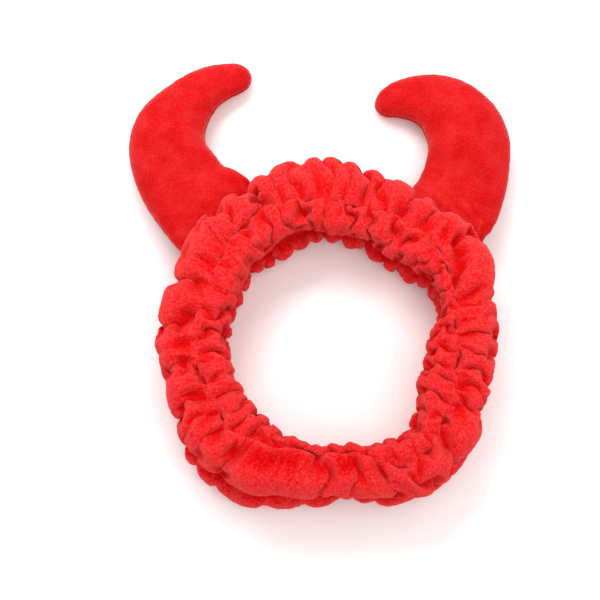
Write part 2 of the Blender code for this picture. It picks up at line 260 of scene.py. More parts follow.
RIGHT_HORN_ROWS = (
    HornRow(0.000, 0.034, 0.94, 0.30, 0.0),
    HornRow(0.076, 0.045, 1.04, 0.60, 0.1),
    HornRow(0.147, 0.068, 1.02, 0.84, 0.5),
    HornRow(0.229, 0.112, 1.00, 0.98, 0.9),
    HornRow(0.306, 0.163, 0.97, 1.04, 1.0),
    HornRow(0.367, 0.216, 0.97, 1.04, 1.0),
    HornRow(0.406, 0.282, 0.94, 1.00, 1.0),
    HornRow(0.424, 0.355, 0.88, 0.94, 1.0),
    HornRow(0.427, 0.436, 0.80, 0.86, 1.0),
    HornRow(0.404, 0.515, 0.66, 0.78, 1.0),
    HornRow(0.357, 0.585, 0.54, 0.70, 1.0),
    HornRow(0.300, 0.639, 0.43, 0.60, 1.0),
    HornRow(0.255, 0.664, 0.34, 0.50, 1.0),
    HornRow(0.213, 0.690, 0.25, 0.40, 1.0),
)


class CalmPanel(NamedTuple):
    """A stretch with hardly a gather: its middle and half width in degrees, and how calm it is."""

    middle: float
    half_width: float
    strength: float


CALM_PANELS = (
    CalmPanel(206.0, 17.0, 0.95),
    CalmPanel(173.0, 11.0, 0.80),
    CalmPanel(287.0, 6.0, 0.45),
    CalmPanel(61.0, 6.0, 0.50),
)


class ClothWave(NamedTuple):
    """Random waves on the cloth: lattice steps round the ring and from seam to seam, depth, and fading.

    The waves fade over the distance fade from a seam, some towards it and some away from it.
    """

    across: float
    length: float
    depth: float
    fade: float


PLEATS = ClothWave(0.0036, 0.0090, 0.0012, 0.0080)
WRINKLES = ClothWave(0.0125, 0.0150, 0.0012, 0.006)
SWELLING = ClothWave(0.0090, 0.0110, 0.0016, 0.010)
WANDER = ClothWave(0.0100, 0.0120, 0.0034, 0.012)


class LayerSide(Enum):
    """Which way a layer of the band faces."""

    OUTER = 1
    INNER = -1


def linear_colour(hex_code: str) -> tuple[float, float, float, float]:
    """Turn an sRGB hex code into the linear colour that a shader reads.

    Args:
        hex_code: Colour such as "#E01A1C".

    Returns:
        Red, green, blue and alpha, each from 0 to 1.
    """
    parts = (int(hex_code[k : k + 2], 16) / 255 for k in (1, 3, 5))
    linear = (part / 12.92 if part <= 0.04045 else ((part + 0.055) / 1.055) ** 2.4 for part in parts)
    return (*linear, 1.0)


def spline(values: np.ndarray, place: np.ndarray, closed: bool) -> np.ndarray:
    """Read evenly spaced values at fractional places, on a Catmull-Rom curve through them.

    Args:
        values: Values along the first axis.
        place: Places to read, in steps of the first axis.
        closed: Whether the values run round a ring.

    Returns:
        The values read, with place's axis first.
    """
    values = np.asarray(values, float)
    count = len(values)
    start = np.floor(place).astype(int)
    if not closed:
        start = np.clip(start, 0, count - 2)
    share = (place - start).reshape((-1,) + (1,) * (values.ndim - 1))
    around = (start + k for k in (-1, 0, 1, 2))
    a, b, c, d = (values[k % count] if closed else values[np.clip(k, 0, count - 1)] for k in around)
    bend = 2 * a - 5 * b + 4 * c - d
    twist = 3 * (b - c) + d - a
    return b + 0.5 * share * (c - a + share * (bend + share * twist))


def smooth_step(share: np.ndarray) -> np.ndarray:
    """0 below 0, 1 above 1, and an even rise between."""
    share = np.clip(share, 0.0, 1.0)
    return share * share * (3 - 2 * share)


def averaged(values: np.ndarray, bell: np.ndarray) -> np.ndarray:
    """Average each column of the values with its neighbours, by the bell's weights."""
    return np.stack([np.convolve(column, bell, "same") for column in values.T], axis=-1)


def length_of(vectors: np.ndarray) -> np.ndarray:
    """Length of each vector of the last axis, kept as an axis of one."""
    return np.sqrt(np.einsum("...k,...k->...", vectors, vectors))[..., None] + 1e-12


def grid_normals(points: np.ndarray, side: int) -> np.ndarray:
    """Unit normals of a grid that closes round along its second axis.

    Each is the cross product of the two central differences, turned by side to point away from the tube.

    Args:
        points: Rows by columns by 3.
        side: 1 or -1.

    Returns:
        Rows by columns by 3.
    """
    around = np.roll(points, -1, axis=1) - np.roll(points, 1, axis=1)
    across = np.gradient(points, axis=0)
    normal = np.cross(around, across) * side
    return normal / length_of(normal)


class WoollyNoise:
    """Smooth noise in space: random values on a cubic lattice, blended between its corners."""

    def __init__(self, seed: int) -> None:
        """Draw the lattice's random values."""
        self.values = np.random.default_rng(seed).uniform(-1.0, 1.0, (64, 64, 64))

    def at(self, points: np.ndarray, size: float) -> np.ndarray:
        """Read the noise.

        The value is the smooth-stepped trilinear blend of the eight lattice corners round a point.

        Args:
            points: Any shape by 3, in metres.
            size: Lattice step in metres, about half of a clump's width.

        Returns:
            Values from -1 to 1, without the last axis.
        """
        place = points / size + 997.0
        cell = np.floor(place).astype(int)
        share = smooth_step(place - cell)
        total = np.zeros(points.shape[:-1])
        for corner in range(8):
            step = np.array([corner & 1, corner >> 1 & 1, corner >> 2 & 1])
            index = (cell + step) % 64
            weight = np.where(step == 1, share, 1 - share).prod(axis=-1)
            total += weight * self.values[index[..., 0], index[..., 1], index[..., 2]]
        return total


@dataclass
class ClothSheet:
    """A sheet of cloth that closes round in a ring, as a grid of points held at their real distances.

    Each step lets the points drift on, swells the sheet along its normals, flattens sharp bends with the
    fourth difference of the points, and pulls neighbours back to their distances on the flat cloth.
    """

    points: np.ndarray
    column_gap: np.ndarray
    row_gap: np.ndarray
    held_rows: tuple[int, ...]
    side: int
    swell: float = 0.000003
    stiffness: float = 0.016
    drift: float = 0.80
    reach: float = 0.0030

    def settle(self, steps: int) -> np.ndarray:
        """Let the cloth gather and swell.

        Args:
            steps: How many steps to take.

        Returns:
            The settled grid.
        """
        start = self.points.copy()
        before = self.points.copy()
        held = list(self.held_rows)
        for _ in range(steps):
            moved = (self.points - before) * self.drift
            before = self.points.copy()
            self.points += moved + grid_normals(self.points, self.side) * self.swell
            self._flatten_bends()
            for _ in range(3):
                self._pull_columns()
                self._pull_rows()
            self._pull_diagonals()
            shift = self.points - start
            far = length_of(shift)
            self.points = start + shift * np.minimum(1.0, self.reach / far)
            self.points[held] = start[held]
            self.points[..., 2] = np.maximum(self.points[..., 2], 0.0)
        return self.points

    def _flatten_bends(self) -> None:
        """Move each point against the fourth difference of its neighbours, round the ring and across it."""
        p = self.points
        around = np.roll(p, 2, 1) + np.roll(p, -2, 1) - 4 * (np.roll(p, 1, 1) + np.roll(p, -1, 1)) + 6 * p
        across = np.zeros_like(p)
        across[2:-2] = p[4:] + p[:-4] - 4 * (p[3:-1] + p[1:-3]) + 6 * p[2:-2]
        self.points = p - self.stiffness * (around + across)

    @staticmethod
    def _correction(gap: np.ndarray, rest: np.ndarray | float) -> np.ndarray:
        """Half of what closes the difference between a gap and its length on the flat cloth."""
        size = length_of(gap)
        return gap * (0.5 * (size - rest) / size)

    def _pull_columns(self) -> None:
        """Restore the distance between neighbours round the ring, even pairs and then odd ones."""
        for first in (0, 1):
            turned = np.roll(self.points, -first, axis=1)
            rest = np.roll(self.column_gap, -first, axis=1)[:, 0::2]
            fix = self._correction(turned[:, 1::2] - turned[:, 0::2], rest)
            turned[:, 0::2] += fix
            turned[:, 1::2] -= fix
            self.points = np.roll(turned, first, axis=1)

    def _pull_rows(self) -> None:
        """Restore the distance between neighbours across the ring, even pairs and then odd ones."""
        count = len(self.points)
        for first in (0, 1):
            low = slice(first, count - 1, 2)
            high = slice(first + 1, count, 2)
            fix = self._correction(self.points[high] - self.points[low], self.row_gap[low])
            self.points[low] += fix
            self.points[high] -= fix

    def _pull_diagonals(self) -> None:
        """Keep the cloth's squares from leaning, with a quarter of the full correction."""
        rest = np.sqrt(self.column_gap[:-1] * self.column_gap[1:] + self.row_gap**2)
        for turn in (1, -1):
            beside = np.roll(self.points, turn, axis=1)
            fix = 0.25 * self._correction(beside[1:] - self.points[:-1], rest)
            self.points[:-1] += fix
            self.points[1:] -= np.roll(fix, -turn, axis=1)


def build_piece(name: str, points: np.ndarray, uv_size: tuple[float, float]) -> bpy.types.Object:
    """Make an object of quads from a grid of points whose columns run round into the first again.

    Args:
        name: Name of the piece.
        points: Rows by columns by 3.
        uv_size: Size of the flat cloth across and along, in metres, which sets the UV map's scale.

    Returns:
        The new object, at the origin, with a UV map in units of UV_UNIT.
    """
    rows, columns = points.shape[:2]
    index = np.arange(rows * columns).reshape(rows, columns)
    r, c = np.meshgrid(np.arange(rows - 1), np.arange(columns), indexing="ij")
    c1 = (c + 1) % columns
    quads = np.stack([index[r, c], index[r, c1], index[r + 1, c1], index[r + 1, c]], axis=-1).reshape(-1, 4)
    mesh = bpy.data.meshes.new(name)
    mesh.vertices.add(rows * columns)
    mesh.vertices.foreach_set("co", points.reshape(-1).astype(np.float32))
    mesh.loops.add(quads.size)
    mesh.loops.foreach_set("vertex_index", quads.reshape(-1).astype(np.int32))
    mesh.polygons.add(len(quads))
    mesh.polygons.foreach_set("loop_start", np.arange(0, quads.size, 4, dtype=np.int32))
    mesh.update(calc_edges=True)
    u = np.stack([c, c + 1, c + 1, c], axis=-1).reshape(-1) / columns * uv_size[1] / UV_UNIT
    v = np.stack([r, r, r + 1, r + 1], axis=-1).reshape(-1) / (rows - 1) * uv_size[0] / UV_UNIT
    layer = mesh.uv_layers.new(name="cloth")
    layer.uv.foreach_set("vector", np.stack([u, v], axis=-1).reshape(-1).astype(np.float32))
    mesh.shade_smooth()
    piece = bpy.data.objects.new(name, mesh)
    bpy.context.scene.collection.objects.link(piece)
    return piece


def add_attribute(piece: bpy.types.Object, name: str, values: np.ndarray) -> None:
    """Keep one number for each vertex, for the piece's material to read."""
    data = piece.data.attributes.new(name, "FLOAT", "POINT")
    data.data.foreach_set("value", values.reshape(-1).astype(np.float32))


@dataclass
class GatheredLayer:
    """One fleece layer of the band, gathered between its pinched seams into two rows of puffs."""

    side: LayerSide
    columns: int = 720
    fine_columns: int = 1088
    rows: int = 43
    gather: float = 1.50
    fullness: float = 1.04
    fold_depth: float = 0.0080
    slimming: float = 0.0010
    seed: int = 3
    hem: float = 0.0030

    @property
    def reach(self) -> float:
        """Furthest that the puffs stand out from the seam, before the ring's shares."""
        return OUTER_REACH if self.side is LayerSide.OUTER else INNER_REACH

    def _section(self) -> dict[str, np.ndarray]:
        """Read SECTION at rows that are evenly spaced along the cloth."""
        fine = np.linspace(0, len(SECTION) - 1, 400)
        table = np.array(SECTION)
        across, height = spline(table[:, 0], fine, False), spline(table[:, 1], fine, False)
        run = np.hypot(np.diff(across * self.reach), np.diff(height * BAND_HEIGHT))
        place = np.interp(np.linspace(0, run.sum(), self.rows), np.append(0, np.cumsum(run)), fine)
        read = spline(table, place, False)
        return {
            "across": read[:, 0],
            "height": read[:, 1],
            "low": np.clip(read[:, 2], 0, 1),
            "fold": np.clip(read[:, 3], 0, 1),
        }

    def _creases(self, degrees: np.ndarray, low: np.ndarray, slant: np.ndarray) -> np.ndarray:
        """How deep each point lies in a fold, from 0 on a puff's crown to about 1 in a crease.

        Between two creases the depth is 1 minus a power of a half sine wave, which makes a round puff with
        a sharp valley on each side.

        Args:
            degrees: Angle of each point, rows by columns.
            low: For each row, how far it belongs to the lower row of puffs.
            slant: For each row, how far a crease has moved from its seam angle to its edge angle.

        Returns:
            Rows by columns.
        """
        table = np.array(OUTER_FOLDS if self.side is LayerSide.OUTER else INNER_FOLDS, float)
        depth = np.empty(degrees.shape)
        for row, (share_low, share_slant) in enumerate(zip(low, slant)):
            place = table[:, 0] + table[:, 3] * share_slant
            deep = table[:, 1] + (table[:, 2] - table[:, 1]) * share_low
            place = np.concatenate([place[-1:] - 360, place, place[:1] + 360])
            deep = np.concatenate([deep[-1:], deep, deep[:1]])
            turned = np.mod(degrees[row] - place[1], 360) + place[1]
            cell = np.clip(np.searchsorted(place, turned, side="right") - 1, 0, len(place) - 2)
            share = (turned - place[cell]) / (place[cell + 1] - place[cell])
            level = deep[cell] * (1 - share) + deep[cell + 1] * share
            depth[row] = level * (1 - np.sin(np.pi * share) ** 1.05)
        return depth

    @staticmethod
    def _cloth_noise(degrees: np.ndarray, along: np.ndarray, wave: ClothWave, seed: int) -> np.ndarray:
        """Smooth noise on the cloth, stretched along it.

        Args:
            degrees: Angle of each point, rows by columns.
            along: Distance of each row from the upper seam along the cloth, in metres.
            wave: The waves' lattice steps.
            seed: Seed of the noise.

        Returns:
            Values from -1 to 1, rows by columns.
        """
        turn = np.radians(degrees)
        run = along[:, None] * wave.across / wave.length + 0 * turn
        place = np.stack([SEAM_RADIUS * np.cos(turn), SEAM_RADIUS * np.sin(turn), run], axis=-1)
        return WoollyNoise(seed).at(place, wave.across)

    def _valleys(self, degrees: np.ndarray, along: np.ndarray, wave: ClothWave, seed: int) -> np.ndarray:
        """Valleys between small billows: 1 in a valley and 0 on the billows.

        A valley lies where smooth noise on the cloth crosses 0, and its depth falls off with the noise's
        distance from 0, to the power 1.5.

        Args:
            degrees: Angle of each point, rows by columns.
            along: Distance of each row from the upper seam along the cloth, in metres.
            wave: The waves' lattice steps.
            seed: Seed of the noise.

        Returns:
            Rows by columns.
        """
        level = self._cloth_noise(degrees, along, wave, seed)
        return np.clip(1 - np.abs(level) / 0.5, 0, 1) ** 1.5

    def _calm(self, degrees: np.ndarray) -> np.ndarray:
        """How smooth the cloth hangs: a bell curve round each calm panel, weaker on the inner layer."""
        calm = np.zeros(degrees.shape)
        for panel in CALM_PANELS:
            away = np.mod(degrees - panel.middle + 180, 360) - 180
            calm = np.maximum(calm, panel.strength * np.exp(-((away / panel.half_width) ** 4)))
        return calm if self.side is LayerSide.OUTER else 0.7 * calm

    def start_grid(self, ruffled: bool) -> np.ndarray:
        """Where the cloth lies before it settles.

        A point's place in the band's section is its share of the reach and of the height, moved towards the
        section's core by its crease, by fine pleats at the seams and by wrinkles and swellings on the puffs.

        Args:
            ruffled: Whether creases and waves are there, or only the plain swept section.

        Returns:
            Rows by columns by 3.
        """
        section = self._section()
        degrees = np.arange(self.columns) * 360 / self.columns
        ring = spline(np.array(RING), degrees * len(RING) / 360, True)
        turn = np.radians(degrees)
        seam_line = np.stack([SEAM_RADIUS * np.cos(turn), SEAM_RADIUS * np.sin(turn), 0 * turn], axis=-1)
        seam = SEAM_RADIUS * ring[:, 0] + 0.0014 * WoollyNoise(41).at(seam_line, 0.0052)
        first = 1 if self.side is LayerSide.OUTER else 3
        low = section["low"][:, None]
        reach = self.reach * (ring[:, first] + (ring[:, first + 1] - ring[:, first]) * low)
        across = reach * section["across"][:, None]
        height = BAND_HEIGHT * section["height"][:, None] + 0 * across
        core = np.stack([0.3 * reach - across, 0.5 * BAND_HEIGHT - height], axis=-1)
        core /= length_of(core)
        if ruffled:
            run = np.hypot(np.diff(section["across"] * self.reach), np.diff(section["height"] * BAND_HEIGHT))
            along = np.append(0, np.cumsum(run))
            edge = np.minimum(along, along[-1] - along)[:, None]
            spread = np.broadcast_to(degrees, across.shape)
            lively = 1 - self._calm(spread)
            upper = 1 - smooth_step((along / along[-1] - 0.40) / 0.15)[:, None]
            lively = 1 - (1 - lively) * upper
            drift = self._cloth_noise(spread, along, WANDER, self.seed + 2) * WANDER.depth
            bent = spread + np.degrees(drift * smooth_step(edge / WANDER.fade) / SEAM_RADIUS)
            slant = np.where(section["low"] < 0.5, section["fold"], 0.0)
            crease = self._creases(bent, section["low"], slant) * self.fold_depth * section["fold"][:, None]
            pleats = self._valleys(bent, along, PLEATS, self.seed) * np.exp(-((edge / PLEATS.fade) ** 2))
            wrinkles = self._valleys(bent, along, WRINKLES, self.seed + 1) * smooth_step(edge / WRINKLES.fade)
            swelling = self._cloth_noise(bent, along, SWELLING, self.seed + 3) * SWELLING.depth
            swelling = swelling * smooth_step(edge / SWELLING.fade)
            gathers = (PLEATS.depth * pleats + WRINKLES.depth * wrinkles) * lively
            relief = crease + gathers - swelling * (0.4 + 0.6 * lively)
            relief = relief * np.minimum(1.0, 0.3 + 0.7 * reach / self.reach)
            move = core * (relief + self.slimming * section["fold"][:, None])[..., None]
            across, height = across + move[..., 0], height + move[..., 1]
            shallow = (1 - lively) * np.exp(-((edge / 0.006) ** 2))
            height = height + shallow * (0.985 * BAND_HEIGHT - height)
        radius = seam + self.side.value * (across - SEAM_CLEARANCE)
        x = RING_MIDDLE[0] + radius * np.sin(turn)
        y = RING_MIDDLE[1] + radius * np.cos(turn)
        return np.stack([x, y, np.maximum(height - REST_PRESS, 0.0)], axis=-1)

    def settled_grid(self) -> np.ndarray:
        """The cloth after it has gathered, on the coarse grid.

        The cut's even share for a column is kept within a few per cent of the length that the cloth is laid
        at near it, so a calm panel takes less cloth than the puffs and isn't pushed into thin creases.
        """
        plain = self.start_grid(ruffled=False)
        ruffled = self.start_grid(ruffled=True)
        row_gap = length_of(np.diff(plain, axis=0)) * self.fullness
        cut = 2 * math.pi * SEAM_RADIUS * self.gather / self.columns
        step = length_of(np.roll(ruffled, -1, axis=1) - ruffled)
        laid = sum(np.roll(step, shift, axis=1) for shift in range(-20, 21, 4)) / 11
        column_gap = np.clip(cut, laid * 0.95, laid * 1.04)
        sheet = ClothSheet(
            points=ruffled,
            column_gap=column_gap,
            row_gap=row_gap,
            held_rows=(0, self.rows // 2, self.rows - 1),
            side=self.side.value,
        )
        return self._eased(sheet.settle(30))

    @staticmethod
    def _eased(points: np.ndarray) -> np.ndarray:
        """Round the creases off as the pile does, by averaging neighbours round the ring."""
        for _ in range(2):
            points = (np.roll(points, 1, axis=1) + 2 * points + np.roll(points, -1, axis=1)) / 4
        return points

    def surface(self) -> tuple[np.ndarray, np.ndarray]:
        """The fine surface, with its pile's clumps, and the painted shading at each point.

        The settled grid is read more finely on a Catmull-Rom surface. The painted shading is the mean of the
        neighbours less the point, along the normal, over a few millimetres: it darkens creases as painted
        shade and lightens ridges as painted highlight.

        Returns:
            The grid of points, and the painted shading from -1 on a ridge, painted highlight, to 1 in a
            crease, painted shade.
        """
        coarse = self.settled_grid()
        rows, columns = coarse.shape[:2]
        fine = spline(coarse, np.linspace(0, rows - 1, 2 * rows - 1), False)
        place = np.arange(self.fine_columns) * columns / self.fine_columns
        fine = spline(fine.swapaxes(0, 1), place, True).swapaxes(0, 1)
        normal = grid_normals(fine, self.side.value)
        smooth = fine
        for step in (1, 2, 3, 4, 5):
            wide = np.pad(smooth, ((step, step), (0, 0), (0, 0)), mode="edge")
            beside = np.roll(smooth, step, 1) + np.roll(smooth, -step, 1)
            smooth = (wide[2 * step :] + wide[: -2 * step] + beside) / 4
        # Painted shade in creases and painted highlight on ridges, from how concave the surface is.
        painted_shading = np.tanh(np.einsum("...k,...k->...", smooth - fine, normal) / 0.0016)
        woolly = WoollyNoise(self.seed + 5)
        clumps = 0.00016 * woolly.at(fine, 0.0011) + 0.00010 * woolly.at(fine, 0.00065)
        fine = fine + normal * clumps[..., None]
        fine[..., 2] = np.maximum(fine[..., 2], 0.0)
        return fine, painted_shading

    def build(self, name: str, fleece: bpy.types.Material) -> bpy.types.Object:
        """Make the layer's piece and dress it.

        Args:
            name: Name of the piece.
            fleece: The material that it is cut from.

        Returns:
            The piece.
        """
        points, painted_shading = self.surface()
        points, painted_shading = self._with_hems(points, painted_shading)
        width = float(length_of(np.diff(points, axis=0)).sum(axis=0).mean())
        flat = (width, 2 * math.pi * SEAM_RADIUS * self.gather)
        if self.side is LayerSide.INNER:
            points, painted_shading = points[:, ::-1], painted_shading[:, ::-1]
        piece = build_piece(name, points, flat)
        # The fleece material darkens creases and lightens ridges by this attribute: painted shade and painted
        # highlight.
        add_attribute(piece, "painted_shading", painted_shading)
        piece.data.materials.append(fleece)
        faces = len(piece.data.polygons)
        LOG.info("%s: %d faces, cut %.0f by %.0f mm", name, faces, flat[0] / MM, flat[1] / MM)
        return piece

    def _with_hems(self, points: np.ndarray, painted_shading: np.ndarray) -> tuple[np.ndarray, np.ndarray]:
        """Turn both cut edges in towards the elastic, so that no raw edge shows at the seams."""
        middle = np.array([*RING_MIDDLE, 0.5 * BAND_HEIGHT])
        strips = []
        for edge in (points[0], points[-1]):
            outwards = edge - middle
            outwards[:, 2] = 0
            outwards /= length_of(outwards)
            level = np.sign(0.5 * BAND_HEIGHT - edge[:, 2:3].mean())
            inwards = outwards * self.side.value * 0.12 + np.array([0.0, 0.0, level])
            strips.append([edge + inwards * self.hem * k / 3 for k in (1, 2, 3)])
        first = np.stack(strips[0][::-1])
        last = np.stack(strips[1])
        # The turned-in hems get the full painted shade of a deep crease.
        pad = np.ones((3, points.shape[1]))
        return np.concatenate([first, points, last]), np.concatenate([pad, painted_shading, pad])


@dataclass
class StuffedHorn:
    """A horn of two velvet panels, sewn along their outline and filled."""

    hand: int
    rows: tuple[HornRow, ...]
    stations: int = 150
    around: int = 144
    tip: float = 0.07
    groove_depth: float = 0.0006
    pucker_depth: float = 0.00016
    gather_depth: float = 0.0011
    seed: int = 11

    def seat(self, turned: np.ndarray) -> np.ndarray:
        """Distance of the band's waist from the ring's middle.

        Args:
            turned: Angles from the horn's own one towards the top of the band, in degrees.

        Returns:
            Distances in metres, in the same shape.
        """
        degrees = self.hand * (HORN_ANGLE - turned.ravel())
        ring = spline(np.array(RING), degrees * len(RING) / 360, True)
        reach = OUTER_REACH * 0.5 * (ring[:, 1] + ring[:, 2]) * SECTION[5].across
        return (SEAM_RADIUS * ring[:, 0] + reach).reshape(turned.shape)

    def _outline(self, share: np.ndarray) -> tuple[np.ndarray, np.ndarray, np.ndarray]:
        """Both sewn edges of the horn, eased so that no row shows in them.

        Each edge lies half a width beside the Catmull-Rom line through the rows, and is then averaged with
        itself under a cosine bell over a row to either side.

        Args:
            share: Places along the horn, from 0 at the base to 1 at the tip.

        Returns:
            The middle between the edges, half the vector from edge to edge, and the rows' values.
        """
        table = np.array(self.rows)
        last = len(table) - 1
        steps = 24
        place = np.arange(-2 * steps, (last + 2) * steps + 1) / steps
        inside = np.clip(place, 0, last)
        slope = np.where(place[:, None] < 0, table[1] - table[0], table[-1] - table[-2])
        read = spline(table, inside, False) + (place - inside)[:, None] * slope
        bell = np.cos(np.linspace(-1, 1, 2 * steps + 1)[1:-1] * np.pi / 2) ** 2
        bell /= bell.sum()
        line = read[:, :2] * HORN_LENGTH
        heading = np.gradient(averaged(line, bell), axis=0)
        heading /= length_of(heading)
        sideways = np.stack([-heading[:, 1], heading[:, 0]], axis=-1) * HORN_HALF_WIDTH * read[:, 2:3]
        left, right = averaged(line + sideways, bell), averaged(line - sideways, bell)
        values = np.concatenate([(left + right) / 2, (left - right) / 2, averaged(read, bell)], axis=-1)
        found = spline(values, (share * last + 2) * steps, False)
        return found[:, :2], found[:, 2:4], found[:, 4:]

    def surface(self) -> tuple[np.ndarray, np.ndarray]:
        """The horn's skin.

        A section runs from edge to edge as the cosine of the angle round it, and its height is thick times
        a power of the sine, which leaves a soft edge along the sewn outline. The tip closes on a half
        ellipse. The base follows the band's waist, narrows a little and goes HORN_TUCK under the gathers.

        Returns:
            Stations by points round by 3, and the painted shading of the skin at each.
        """
        tip = self.tip
        evenly = np.linspace(0, 1, self.stations)
        rounding = 1 - tip * (1 - np.sin((evenly - 0.85) / 0.15 * np.pi / 2))
        share = np.where(evenly < 0.85, evenly / 0.85 * (1 - tip), rounding)
        middle, half, read = self._outline(share)
        half = half * (0.86 + 0.14 * np.sin(np.clip(share / 0.06, 0, 1) * np.pi / 2))[:, None]
        cap = np.clip((share - (1 - tip)) / tip, 0, 1)
        round_off = np.sqrt(np.clip(1 - cap**2, 0.0, 1))[:, None]
        turn = np.linspace(0, 2 * np.pi, self.around, endpoint=False)
        cosine, sine = np.cos(turn), np.sin(turn)
        thick = HORN_HALF_THICKNESS * read[:, 3:4] * round_off
        rise = thick * np.sign(sine) * np.abs(sine) ** 0.85
        seat = self.seat(np.zeros(1))[0] + HORN_SEAM_GAP
        out = middle[:, 0:1] + half[:, 0:1] * round_off * cosine
        inwards = middle[:, 1:2] + half[:, 1:2] * round_off * cosine
        bent = smooth_step(1 - read[:, 0] / 0.25)[:, None]
        turned = np.arctan2(inwards, seat + out)
        out = out + bent * (self.seat(np.degrees(turned)) * np.cos(turned) - seat)
        out = out - HORN_TUCK * smooth_step(1 - read[:, 0] / 0.12)[:, None] * (1 + 0.8 * cosine**4)
        angle = math.radians(HORN_ANGLE)
        x = RING_MIDDLE[0] + self.hand * (math.sin(angle) * (seat + out) - math.cos(angle) * inwards)
        y = RING_MIDDLE[1] + math.cos(angle) * (seat + out) + math.sin(angle) * inwards
        waist = 0.5 * BAND_HEIGHT - REST_PRESS
        sunk = smooth_step(read[:, 4:5])
        z = waist + (HORN_HALF_THICKNESS * read[:, 3:4] - waist) * sunk + rise
        return self._finished(np.stack([x, y, z], axis=-1), cosine, share)

    def _finished(
        self, points: np.ndarray, cosine: np.ndarray, share: np.ndarray
    ) -> tuple[np.ndarray, np.ndarray]:
        """Add the sewn seam's groove, its puckers and the soft dents of the filling.

        Args:
            points: The plain skin.
            cosine: 1 and -1 at the two sewn edges, for each point round a section.
            share: Place of each station along the horn.

        Returns:
            The finished points, and the painted shading at each: painted shade in the seam's groove and in
            the dips of the puckers and the base's gathers, painted highlight on their bulges.
        """
        normal = grid_normals(points, -self.hand)
        centre = points.mean(axis=1, keepdims=True)
        flip = np.sign(np.einsum("...k,...k->...", normal, points - centre).mean())
        normal = normal * flip
        edge = np.abs(cosine)[None, :]
        groove = np.exp(-(((1 - edge) / 0.004) ** 2)) * self.groove_depth
        woolly = WoollyNoise(self.seed)
        run = np.zeros_like(points)
        run[..., 0] = share[:, None] * HORN_LENGTH * 1.4
        run[..., 1] = np.sign(cosine)[None, :] * 0.05
        pucker = woolly.at(run, 0.0022) * self.pucker_depth * smooth_step((edge - 0.80) / 0.2)
        pucker = pucker * (edge < 0.999)
        dents = (woolly.at(points, 0.011) * 0.0008 + woolly.at(points, 0.0055) * 0.0003) * (1 - edge**6)
        fade = smooth_step(share / 0.06)[:, None] * smooth_step((1 - share) / 0.05)[:, None]
        gathered = np.exp(-((share / 0.10) ** 2))[:, None]
        base = gathered * woolly.at(run + points, 0.0035) * self.gather_depth
        move = (-groove + pucker + dents + base) * fade
        woolly_pile = woolly.at(points, 0.0006) * 0.00005
        points = points + normal * (move + woolly_pile)[..., None]
        points[..., 2] = np.maximum(points[..., 2], 0.0003)
        # Painted shade in the groove and in the dips of the puckers and gathers, painted highlight on their
        # bulges.
        painted_shading = np.clip((groove - pucker - base) / 0.0009, -1, 1)
        return points, painted_shading + 0 * points[..., 0]

    def build(self, name: str, velvet: bpy.types.Material) -> bpy.types.Object:
        """Make the horn's piece and dress it.

        Args:
            name: Name of the piece.
            velvet: The material that it is cut from.

        Returns:
            The piece.
        """
        points, painted_shading = self.surface()
        if self.hand > 0:
            points, painted_shading = points[:, ::-1], painted_shading[:, ::-1]
        piece = build_piece(name, points, (HORN_LENGTH, 4 * HORN_HALF_WIDTH))
        # The velvet material darkens and lightens the skin by this attribute: painted shade and painted
        # highlight.
        add_attribute(piece, "painted_shading", painted_shading)
        close_ends(piece, len(points), points.shape[1])
        piece.data.materials.append(velvet)
        LOG.info("%s: %d faces", name, len(piece.data.polygons))
        return piece


def close_ends(piece: bpy.types.Object, rows: int, columns: int) -> None:
    """Close the first and the last ring of a tube, and turn every face outwards.

    Args:
        piece: The tube, made by build_piece.
        rows: Rings along it.
        columns: Points round it.
    """
    mesh = bmesh.new()
    mesh.from_mesh(piece.data)
    mesh.verts.ensure_lookup_table()
    for start in (0, (rows - 1) * columns):
        mesh.faces.new([mesh.verts[start + k] for k in range(columns)])
    bmesh.ops.remove_doubles(mesh, verts=mesh.verts, dist=0.00002)
    bmesh.ops.recalc_face_normals(mesh, faces=mesh.faces)
    for face in mesh.faces:
        face.smooth = True
    mesh.to_mesh(piece.data)
    mesh.free()


